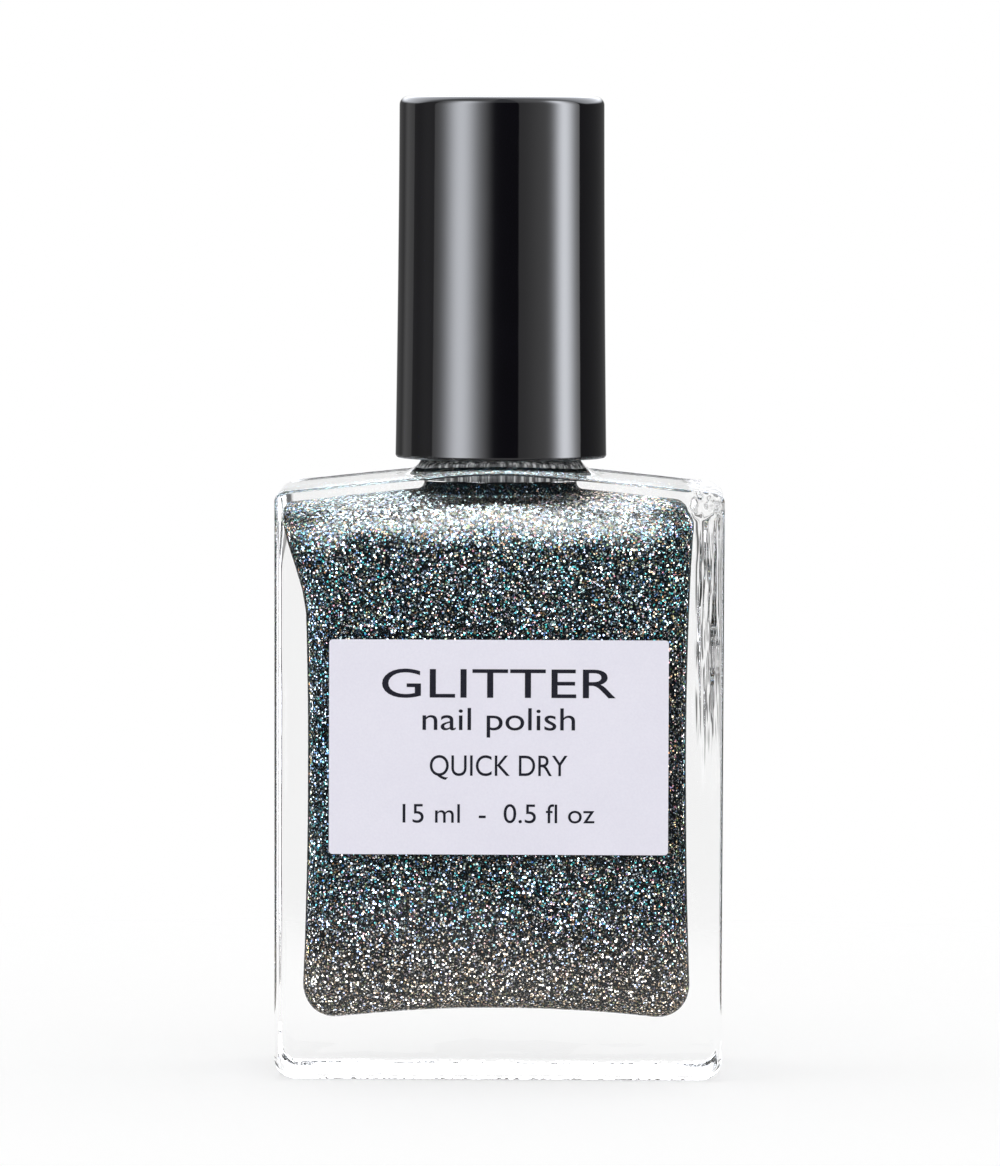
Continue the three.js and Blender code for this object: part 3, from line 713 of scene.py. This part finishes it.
def glass_outside():
    rings = [[(0, 0, RECESS)]]
    inner = body_ring(3.4, RECESS, FOOT_INSET)
    for share in (0.2, 0.45, 0.7, 0.9):
        rings.append([(x * share, y * share, z) for x, y, z in inner])
    rings.append(inner)
    for i in range(1, 7):
        share = i / 6
        rings.append(body_ring(3.3 - 1.1 * share, RECESS * (1 - smoothstep(share, 0, 1)), FOOT_INSET))
    rings.append(body_ring(2.0, 0, FOOT_INSET))
    rings += [heel_ring(1 - i / 10) for i in range(11)]
    for i in range(61):
        share = max(0.002, i / 60)
        rings.append(body_ring(0, HEEL_END_R + (WALL_TOP - HEEL_END_R) * share, FOOT_INSET * (1 - share)))
    rings += [shoulder_edge_ring(i / 15) for i in range(16)]
    edge = rings[-1]
    fillet_foot = circle(COLLAR_R + FILLET_WIDTH, 0)
    for share in (0.03, 0.12, 0.25, 0.4, 0.55, 0.7, 0.85, 0.95, 1):
        rings.append(between(edge, fillet_foot, share, shoulder_height))
    for i in range(1, 11):
        angle = QUARTER * i / 10
        rings.append(circle(COLLAR_R + FILLET_WIDTH * (1 - math.sin(angle)), shoulder_height))
    rings.append(circle(COLLAR_R, COLLAR_TOP - 0.15))
    rings.append(circle(COLLAR_R - 0.04, COLLAR_TOP - 0.04))
    rings.append(circle(COLLAR_R - 0.15, COLLAR_TOP))
    rings.append(circle(NECK_ROOT_R + 0.12, COLLAR_TOP + 0.1))
    rings.append(circle(NECK_ROOT_R, COLLAR_TOP + 0.25))
    thread = (NECK_ROOT_R, NECK_CREST_R, COLLAR_TOP + 2.6, 2, 0.75, 0.3)
    z = COLLAR_TOP + 0.5
    while z < NECK_TOP - 0.75:
        rings.append(circle(lambda angle, at=z: thread_radius(angle, at, *thread), z))
        z += THREAD_STEP
    rings += [circle(r, z) for r, z in arc(NECK_ROOT_R - 0.4, NECK_TOP - 0.4, 0.4, 0, 90, 6)]
    return rings


def roof_circle(radius, lift, inset):
    return circle(radius, lambda x, y: ceiling_height(x, y, inset) + lift)


def throat_radius(inset, open_share=1.0):
    """Radius of the oval throat at an angle. An open_share of 0 gives the neck's round bore."""

    def radius(angle):
        across = math.cos(angle) / (THROAT_HALF_WIDTH - inset)
        through = math.sin(angle) / (THROAT_HALF_DEPTH - inset)
        oval = 1 / math.hypot(across, through)
        return (BORE_R - inset) + (oval - BORE_R + inset) * open_share

    return radius


def throat_rings(inset):
    """From the neck's bore down the throat's domed top and its upright walls."""
    rings = []
    for i in range(11):
        angle = QUARTER * i / 10
        z = THROAT_TOP - inset - (THROAT_TOP - THROAT_SHOULDER) * (1 - math.cos(angle))
        rings.append(circle(throat_radius(inset, math.sin(angle)), z))
    return rings


def throat_foot(inset):
    """The flare from the throat's walls out onto the cavity's roof."""
    rings = []
    for i in range(9):
        angle = QUARTER * i / 8
        wider = THROAT_FLARE * (1 - math.cos(angle))
        rings.append(roof_circle(throat_radius(inset - wider), 0.5 * (1 - math.sin(angle)), inset))
    return rings


def glass_inside():
    rings = [circle(r, z) for r, z in arc(BORE_R + 0.3, NECK_TOP - 0.3, 0.3, 90, 180, 5)]
    for share in (0.01, 0.2, 0.4, 0.6, 0.8, 0.95, 0.995):
        rings.append(circle(BORE_R, NECK_TOP - 0.3 + (THROAT_TOP - NECK_TOP + 0.3) * share))
    rings += throat_rings(0) + throat_foot(0)
    cavity = cavity_rings(0)
    throat = rings[-1]
    for share in (0.1, 0.25, 0.45, 0.65, 0.85):
        rings.append(between(throat, cavity[0], share, ceiling_height))
    return rings + cavity


bottle = skin("bottle_glass", glass_outside() + glass_inside(), glass)
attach(bottle, "bottle")
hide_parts("glass_bottle")

# ------------------------------------------------------------------ lacquer


# The lacquer's surface climbs the throat's wall: (distance from the wall, rise)
MENISCUS = [(3.8, 0), (2.9, 0), (1.9, 0), (1.0, 0.01), (0.6, 0.05), (0.3, 0.11), (0.12, 0.18), (0, 0.28)]


def lacquer_rings():
    inset = -WETTING
    rings = [[(0, 0, LEVEL_Z)]]
    for away, lift in MENISCUS:
        rings.append(circle(throat_radius(inset + away), LEVEL_Z + lift))
    rings += throat_foot(inset)
    cavity = cavity_rings(inset)
    throat = rings[-1]
    for share in (0.1, 0.25, 0.45, 0.65, 0.85):
        rings.append(between(throat, cavity[0], share, lambda x, y: ceiling_height(x, y, inset)))
    return list(reversed(rings + cavity))


lacquer = skin("lacquer_fill", lacquer_rings(), lacquer_look)
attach(lacquer, "bottle")
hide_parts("lacquer")


def film_rings():
    """Lacquer left on the throat's walls and domed top, in a thin layer."""
    foot = LEVEL_Z + 0.35
    outer = [circle(throat_radius(-WETTING), foot)] + throat_rings(-WETTING)[:2:-1]
    inner = [circle(throat_radius(WETTING), foot)] + throat_rings(WETTING)[:2:-1]
    return outer + inner[::-1] + outer[:1]


def closed_band(name, rings, material):
    """A ring-shaped solid: the last ring is the first one again."""
    count = len(rings[0])
    points = [p for ring in rings[:-1] for p in ring]
    levels = len(rings) - 1
    faces = []
    for k in range(levels):
        a, b = k * count, ((k + 1) % levels) * count
        for i in range(count):
            j = (i + 1) % count
            faces.append((a + i, a + j, b + j, b + i))
    return solid(name, points, faces, material)


film = closed_band("neck_film", film_rings(), film_look)
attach(film, "bottle")

# ------------------------------------------------------------------ label

LABEL_FRONT = label_low.y + 0.03
LABEL_BACK = label_high.y
LABEL_CORNER_R = 0.3


def label_sheet():
    """A thin sheet with slightly rounded corners and a soft front edge."""
    half_w = (label_high.x - label_low.x) / 2
    half_h = (label_high.z - label_low.z) / 2
    centre = (label_high.z + label_low.z) / 2

    def outline(inset, y):
        ring = []
        for corner_x, corner_z, start in ((1, 1, 0), (-1, 1, 90), (-1, -1, 180), (1, -1, 270)):
            for i in range(6):
                angle = math.radians(start + 90 * i / 5)
                radius = LABEL_CORNER_R - inset
                x = corner_x * (half_w - LABEL_CORNER_R) + radius * math.cos(angle)
                z = centre + corner_z * (half_h - LABEL_CORNER_R) + radius * math.sin(angle)
                ring.append((x, y, z))
        return ring

    rings = [outline(0, LABEL_BACK), outline(0, LABEL_FRONT + 0.03), outline(0.03, LABEL_FRONT)]
    points = [p for ring in rings for p in ring]
    count = len(rings[0])
    faces = [tuple(range(count)), tuple(reversed(range(2 * count, 3 * count)))]
    for k in range(2):
        for i in range(count):
            j = (i + 1) % count
            faces.append((k * count + i, (k + 1) * count + i, (k + 1) * count + j, k * count + j))
    return solid("label_sheet", points, faces, label_look, smooth=False)


label = label_sheet()
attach(label, "bottle")
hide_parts("front_label")

# Generic wording only: (words, letter height, width to fill, height above the label's middle)
LABEL_LINES = [
    ("GLITTER", 2.45, 19.0, 5.2),
    ("nail polish", 1.9, 12.4, 2.0),
    ("QUICK DRY", 1.75, 11.2, -1.65),
    ("15 ml  -  0.5 fl oz", 1.6, 15.6, -5.4),
]


CAPITAL_HEIGHT = 0.72  # of a letter of size 1 in the built-in typeface


def label_print():
    """The printed lines, as thin raised letters on the label's front."""
    centre_z = (label_high.z + label_low.z) / 2
    points, faces = [], []
    for words, tall, wide, above in LABEL_LINES:
        curve = bpy.data.curves.new("words", "FONT")
        curve.body = words
        curve.align_x = "CENTER"
        curve.align_y = "CENTER"
        curve.extrude = 0.5
        curve.resolution_u = 6
        holder = bpy.data.objects.new("words", curve)
        bpy.context.scene.collection.objects.link(holder)
        bpy.context.view_layer.update()
        mesh = bpy.data.meshes.new_from_object(holder.evaluated_get(bpy.context.evaluated_depsgraph_get()))
        xs = [v.co.x for v in mesh.vertices]
        ys = [v.co.y for v in mesh.vertices]
        middle = (max(xs) + min(xs)) / 2, (max(ys) + min(ys)) / 2
        scale_x = wide / (max(xs) - min(xs))
        scale_z = tall / CAPITAL_HEIGHT
        start = len(points)
        for v in mesh.vertices:
            y = LABEL_FRONT + 0.01 if v.co.z < 0 else LABEL_FRONT - 0.015
            x = (v.co.x - middle[0]) * scale_x
            points.append((x, y, centre_z + above + (v.co.y - middle[1]) * scale_z))
        faces += [tuple(start + i for i in p.vertices) for p in mesh.polygons]
        bpy.data.objects.remove(holder)
        bpy.data.meshes.remove(mesh)
        bpy.data.curves.remove(curve)
    return solid("label_print", points, faces, ink, smooth=False)


words = label_print()
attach(words, "bottle")

# ------------------------------------------------------------------ cap

CAP_TOP_R = 8.42
CAP_FOOT_R = cap_high.x
CAP_TOP = cap_high.z
CAP_FOOT = cap_low.z
CAP_BORE_R = 7.75
CAP_UPPER_BORE_R = 7.1
CAP_STEP_Z = 65.4
CAP_ROOF = 1.3


def overcap_radius(z):
    share = (CAP_TOP - z) / (CAP_TOP - CAP_FOOT)
    return CAP_TOP_R + (CAP_FOOT_R - CAP_TOP_R) * (0.37 * share + 0.63 * share**2)


def overcap_profile():
    roof = CAP_TOP - CAP_ROOF
    inside = [(0, roof), (3, roof), (6.3, roof)]
    inside += arc(CAP_UPPER_BORE_R - 0.6, roof - 0.6, 0.6, 90, 0, 5)
    inside += [
        (CAP_UPPER_BORE_R, 72), (CAP_UPPER_BORE_R, CAP_STEP_Z + 0.05), (CAP_UPPER_BORE_R + 0.05, CAP_STEP_Z),
        (CAP_BORE_R - 0.05, CAP_STEP_Z), (CAP_BORE_R, CAP_STEP_Z - 0.05), (CAP_BORE_R, 58),
        (CAP_BORE_R, CAP_FOOT + 0.2), (CAP_BORE_R + 0.06, CAP_FOOT + 0.06), (CAP_BORE_R + 0.2, CAP_FOOT),
    ]
    outside = arc(CAP_FOOT_R - 0.3, CAP_FOOT + 0.3, 0.3, -90, 0, 8)
    z = CAP_FOOT + 0.4
    while z < CAP_TOP - 0.8:
        outside.append((overcap_radius(z), z))
        z += 0.9
    edge = 0.7
    outside.append((overcap_radius(CAP_TOP - edge - 0.06), CAP_TOP - edge - 0.06))
    outside += arc(CAP_TOP_R - edge, CAP_TOP - edge, edge, 0, 90, 12)
    outside += [(CAP_TOP_R - edge - 0.1, CAP_TOP), (5, CAP_TOP), (2, CAP_TOP), (0, CAP_TOP)]
    return inside + outside


overcap = turned("overcap_shell", overcap_profile(), cap_gloss, 256)
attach(overcap, "cap")
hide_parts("overcap")


def inner_cap_rings():
    """From the stem's socket down the threaded bore, up the ribbed outside and over the socket's post."""
    foot, socket_top = inner_low.z, inner_high.z
    top, ceiling, count, ribs = 65.1, 63.5, 192, 48
    thread = (6.95, 6.65, foot + 1.6, 2, 0.5, 0.2)

    def ribbed(angle):
        return 7.525 + 0.075 * math.cos(angle * ribs)

    bore = [
        (2.2, socket_top - 1.2), (2.35, socket_top - 1.35), (2.35, 66), (2.35, ceiling + 0.15),
        (2.5, ceiling), (4.5, ceiling), (6.8, ceiling), (6.95, ceiling - 0.15),
    ]
    rings = [[(0, 0, socket_top - 1.2)]] + [circle(r, z, count) for r, z in bore]
    z = ceiling - 0.3
    while z > foot + 0.35:
        rings.append(circle(lambda angle, at=z: thread_radius(angle, at, *thread), z, count))
        z -= THREAD_STEP
    outside = [
        (6.97, foot + 0.1), (7.05, foot), (7.3, foot), (7.4, foot + 0.1), (ribbed, foot + 0.3),
        (ribbed, 58), (ribbed, top - 0.5), (7.2, top - 0.1), (7.0, top), (5, top), (3.6, top),
        (3.5, top + 0.1), (3.5, 69),
    ]
    outside += arc(3.1, socket_top - 0.4, 0.4, 0, 90, 5) + [(1.5, socket_top)]
    return rings + [circle(r, z, count) for r, z in outside] + [[(0, 0, socket_top)]]


inner_cap = skin("inner_cap_shell", inner_cap_rings(), closure_plastic)
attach(inner_cap, "cap")
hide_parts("inner_cap")


def washer_rings():
    r, hole, low, high, soft = washer_high.x, 2.3, washer_low.z, washer_high.z, 0.15
    profile = arc(hole + soft, low + soft, soft, 180, 270, 4) + arc(r - soft, low + soft, soft, 270, 360, 4)
    profile += arc(r - soft, high - soft, soft, 0, 90, 4) + arc(hole + soft, high - soft, soft, 90, 180, 4)
    rings = [circle(radius, z, 96) for radius, z in profile]
    return rings + [rings[0]]


washer = closed_band("washer", washer_rings(), seal_foam)
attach(washer, "seal")
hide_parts("seal_washer")

# ------------------------------------------------------------------ brush

STEM_TIP = stem_low.z
STEM_SOCKET_TOP = STEM_TIP + 5.3


def stem_profile():
    """From the bristles' socket round the tip, up the tapered stem, round the flange and up the spigot."""
    flange, spigot_top = 62.5, stem_high.z
    tip_r, taper, taper_length, steps = 1.57, 0.33, 36.5, 12
    profile = [
        (0, STEM_SOCKET_TOP), (1.1, STEM_SOCKET_TOP), (1.2, STEM_SOCKET_TOP - 0.1),
        (1.2, STEM_TIP + 0.1), (1.25, STEM_TIP), (1.42, STEM_TIP),
    ]
    profile += arc(1.45, STEM_TIP + 0.1, 0.1, -90, 0, 4)
    for i in range(steps + 1):
        profile.append((tip_r + taper * i / steps, STEM_TIP + 1 + taper_length * i / steps))
    profile += [(1.95, 61.9), (2.05, 62.3), (2.25, flange), (3.5, flange)]
    profile += arc(5.45, flange + 0.15, 0.15, -90, 0, 4) + arc(5.45, flange + 0.65, 0.15, 0, 90, 4)
    profile += [(2.3, flange + 0.8), (2.12, flange + 0.9), (2.1, flange + 1.1), (2.1, spigot_top - 0.6)]
    return profile + arc(1.6, spigot_top - 0.5, 0.5, 0, 90, 5) + [(0, spigot_top)]


stem = turned("brush_stem_fine", stem_profile(), stem_plastic, 64)
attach(stem, "cap")
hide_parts("brush_stem")


def filaments():
    """Separate filaments that swell a little below the stem and end in a domed tip."""
    rng = random.Random(11)
    count, sides, steps = 190, 5, 12
    golden_angle = 2.39996
    gauge = 0.055
    root, tip = bristle_high.z - 0.05, bristle_low.z
    points, faces = [], []
    for n in range(count):
        share = math.sqrt((n + 0.5) / count)
        turn = n * golden_angle + rng.uniform(-0.1, 0.1)
        end_z = tip + 0.05 + 1.1 * share**2 + rng.uniform(0, 0.5)
        start = len(points)
        for k in range(steps + 1):
            z = root + (end_z - bristle_high.z + 0.05) * k / steps
            swell = smoothstep(STEM_TIP - z, -1, 9)
            gather = smoothstep(z, tip - 1, tip + 5)
            reach = (0.9 + 0.36 * swell) * (0.62 + 0.38 * gather) * share
            wander = 0.03 * math.sin(3.1 * k / steps + n)
            cx, cy = reach * math.cos(turn + wander), reach * math.sin(turn + wander)
            fine = gauge * (0.5 if k == steps else 1)
            points += [(cx + x, cy + y, z) for x, y, _ in circle(fine, z, sides)]
        for k in range(steps):
            for i in range(sides):
                j = (i + 1) % sides
                a, b = start + k * sides, start + (k + 1) * sides
                faces.append((a + i, a + j, b + j, b + i)[::-1])
        faces.append(tuple(start + i for i in range(sides)))
        faces.append(tuple(start + steps * sides + i for i in reversed(range(sides))))
    return solid("brush_filaments", points, faces, nylon)


brush = filaments()
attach(brush, "cap")
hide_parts("bristles")


def coat_rings():
    """Lacquer held among the filaments, with the ridges of the filaments showing through."""
    tip, count = bristle_low.z, 96
    swelling = [
        (0.25, 0.35), (0.4, 0.55), (0.8, 0.76), (1.6, 0.93), (3, 1.08), (5, 1.19),
        (8, 1.25), (10.5, 1.2), (12.5, 1.06), (13.6, 0.93), (14.2, 0.7),
    ]

    def ridged(radius, z):
        return lambda angle: radius + 0.035 * math.sin(angle * 17 + z) + 0.02 * math.sin(angle * 29 - 2 * z)

    rings = [[(0, 0, tip + 0.2)]]
    rings += [circle(ridged(radius, tip + rise), tip + rise, count) for rise, radius in swelling]
    return rings + [[(0, 0, tip + 14.4)]]


coat = skin("brush_lacquer", coat_rings(), wet_lacquer)
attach(coat, "cap")

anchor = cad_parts["bristle_anchor"]
anchor.data.materials.clear()
anchor.data.materials.append(brass)

# ------------------------------------------------------------------ mixing balls


def ball(name, cad_node):
    low, high = box_mm(cad_node)
    centre = (low + high) / 2
    radius = (high.z - low.z) / 2
    rings = [[(centre.x, centre.y, centre.z - radius)]]
    for i in range(1, 32):
        angle = -QUARTER + math.pi * i / 32
        r, z = radius * math.cos(angle), centre.z + radius * math.sin(angle)
        rings.append([(x + centre.x, y + centre.y, at) for x, y, at in circle(r, z, 48)])
    rings.append([(centre.x, centre.y, centre.z + radius)])
    piece = skin(name, rings, steel)
    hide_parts(cad_node)
    return piece


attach(ball("steel_ball_1", "mixing_ball_1"), "ball_1")
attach(ball("steel_ball_2", "mixing_ball_2"), "ball_2")

# ------------------------------------------------------------------ floor, light and camera


def make_floor():
    """A round pale floor that fades into the backdrop's white away from the object."""
    material = bpy.data.materials.new("floor")
    material.use_nodes = True
    tree = material.node_tree
    tree.nodes.clear()
    place = node(tree, "ShaderNodeTexCoord").outputs["Object"]
    away = node(tree, "ShaderNodeVectorMath", {0: place}, operation="LENGTH").outputs["Value"]
    matt = node(tree, "ShaderNodeBsdfDiffuse", {"Color": (0.5, 0.5, 0.5, 1)})
    lift = node(tree, "ShaderNodeEmission", {"Color": (1, 1, 1, 1), "Strength": 0.53})
    lit = node(tree, "ShaderNodeAddShader", {0: matt.outputs[0], 1: lift.outputs[0]})
    clear = node(tree, "ShaderNodeBsdfTransparent")
    fade = ramp_up(tree, away, 0.06, 0.2)
    mixed = node(tree, "ShaderNodeMixShader", {0: fade, 1: lit.outputs[0], 2: clear.outputs[0]})
    output = node(tree, "ShaderNodeOutputMaterial")
    tree.links.new(mixed.outputs[0], output.inputs[0])
    count, radius, z = 96, 200.0, -0.1
    points = [(0, 0, z)] + circle(radius, z, count)
    faces = [(0, 1 + i, 1 + (i + 1) % count) for i in range(count)]
    floor = solid("floor", points, faces, material, smooth=False)


make_floor()


def make_world():
    """A white studio with two tall soft lights at the sides and dark gaps beside them.

    One more light is overhead. It is weak over the front, and strong and low over the back.
    """
    world = bpy.data.worlds.new("studio")
    bpy.context.scene.world = world
    world.use_nodes = True
    tree = world.node_tree
    tree.nodes.clear()
    direction = node(tree, "ShaderNodeTexCoord").outputs["Generated"]
    x, y, z = split(tree, direction)
    front = times(tree, y, -1.0)
    turn = times(tree, maths(tree, "ARCTAN2", x, front), 180 / math.pi)

    def step(level, edge, soft):
        """Adds level to the right of edge, in degrees from the front."""
        return ramp_up(tree, turn, edge - soft, edge + soft, 0.0, level)

    def strip(centre, left, right, level):
        off = maths(tree, "SUBTRACT", turn, centre)
        spread = maths(tree, "MAXIMUM", maths(tree, "DIVIDE", off, right), maths(tree, "DIVIDE", off, -left))
        squared = times(tree, times(tree, spread, spread), -0.5)
        return times(tree, maths(tree, "EXPONENT", squared), level)

    # Grey walls and white backdrop, as steps in degrees: (change of level, edge, softness)
    walls = 0.97
    for level, edge, soft in (
        (-0.8, -169, 4), (0.4, -135, 7), (-0.36, -115, 0.8), (0.15, -98, 10), (0.5, -80.5, 0.8),
        (-0.79, -13, 7), (0.55, 19.5, 0.8), (0.55, 36, 16), (-1.02, 98, 0.8), (0.82, 169, 4),
    ):
        walls = plus(tree, walls, step(level, edge, soft))
    walls = mix_value(tree, ramp_up(tree, z, -0.06, -0.25), walls, 1.0)
    left = times(tree, strip(-45.5, 12.2, 12.6, 11.0), step(1, -80.5, 0.8))
    right_gate = maths(tree, "SUBTRACT", 1.0, step(1, 98, 0.8))
    right = times(tree, strip(74.5, 8.3, 9.7, 12.4), right_gate)
    tall = times(tree, ramp_up(tree, z, -0.38, -0.12), ramp_up(tree, z, 0.85, 0.6))
    sides = times(tree, plus(tree, left, right), tall)
    lowest = ramp_up(tree, y, -0.1, 0.4, 0.45, 0.1)
    overhead = ramp_up(tree, y, 0.0, 0.35, 0.65, 3.2)
    above = times(tree, ramp_up(tree, maths(tree, "SUBTRACT", z, lowest), 0.0, 0.2), overhead)
    cool = scaled(tree, (0.95, 0.98, 1.05), plus(tree, sides, above))
    plain = node(tree, "ShaderNodeCombineXYZ", {0: walls, 1: walls, 2: walls}).outputs[0]
    studio = vector_maths(tree, "ADD", cool, plain)
    ray = node(tree, "ShaderNodeLightPath")
    shiny = maths(tree, "MAXIMUM", ray.outputs["Is Glossy Ray"], ray.outputs["Is Transmission Ray"])
    soft_light = mix_colour(tree, shiny, (0.94, 0.94, 0.94, 1), studio)
    seen = mix_colour(tree, ray.outputs["Is Camera Ray"], soft_light, (1.0, 1.0, 1.0, 1))
    background = node(tree, "ShaderNodeBackground", {"Color": seen})
    output = node(tree, "ShaderNodeOutputWorld")
    tree.links.new(background.outputs[0], output.inputs[0])


make_world()

scene = bpy.context.scene
scene.view_settings.view_transform = "Standard"
scene.cycles.max_bounces = 18
scene.cycles.transmission_bounces = 14
scene.cycles.glossy_bounces = 8

CAMERA_DISTANCE = 0.787
CAMERA_HEIGHT = 0.082
CAMERA_LENS = 295.9
CAMERA_TURN = math.radians(0.6)
CAMERA_ROLL = math.radians(0.19)
CAMERA_AIM = Vector((-0.00004, 0, 0.04002))
camera_data = bpy.data.cameras.new("camera")
camera_data.lens = CAMERA_LENS
camera_data.sensor_width = 36
camera = bpy.data.objects.new("camera", camera_data)
scene.collection.objects.link(camera)
camera.location = (
    CAMERA_DISTANCE * math.sin(CAMERA_TURN),
    -CAMERA_DISTANCE * math.cos(CAMERA_TURN),
    CAMERA_HEIGHT,
)
facing = (CAMERA_AIM - camera.location).to_track_quat("-Z", "Y").to_matrix().to_4x4()
camera.matrix_world = Matrix.Translation(camera.location) @ facing @ Matrix.Rotation(CAMERA_ROLL, 4, "Z")
scene.camera = camera
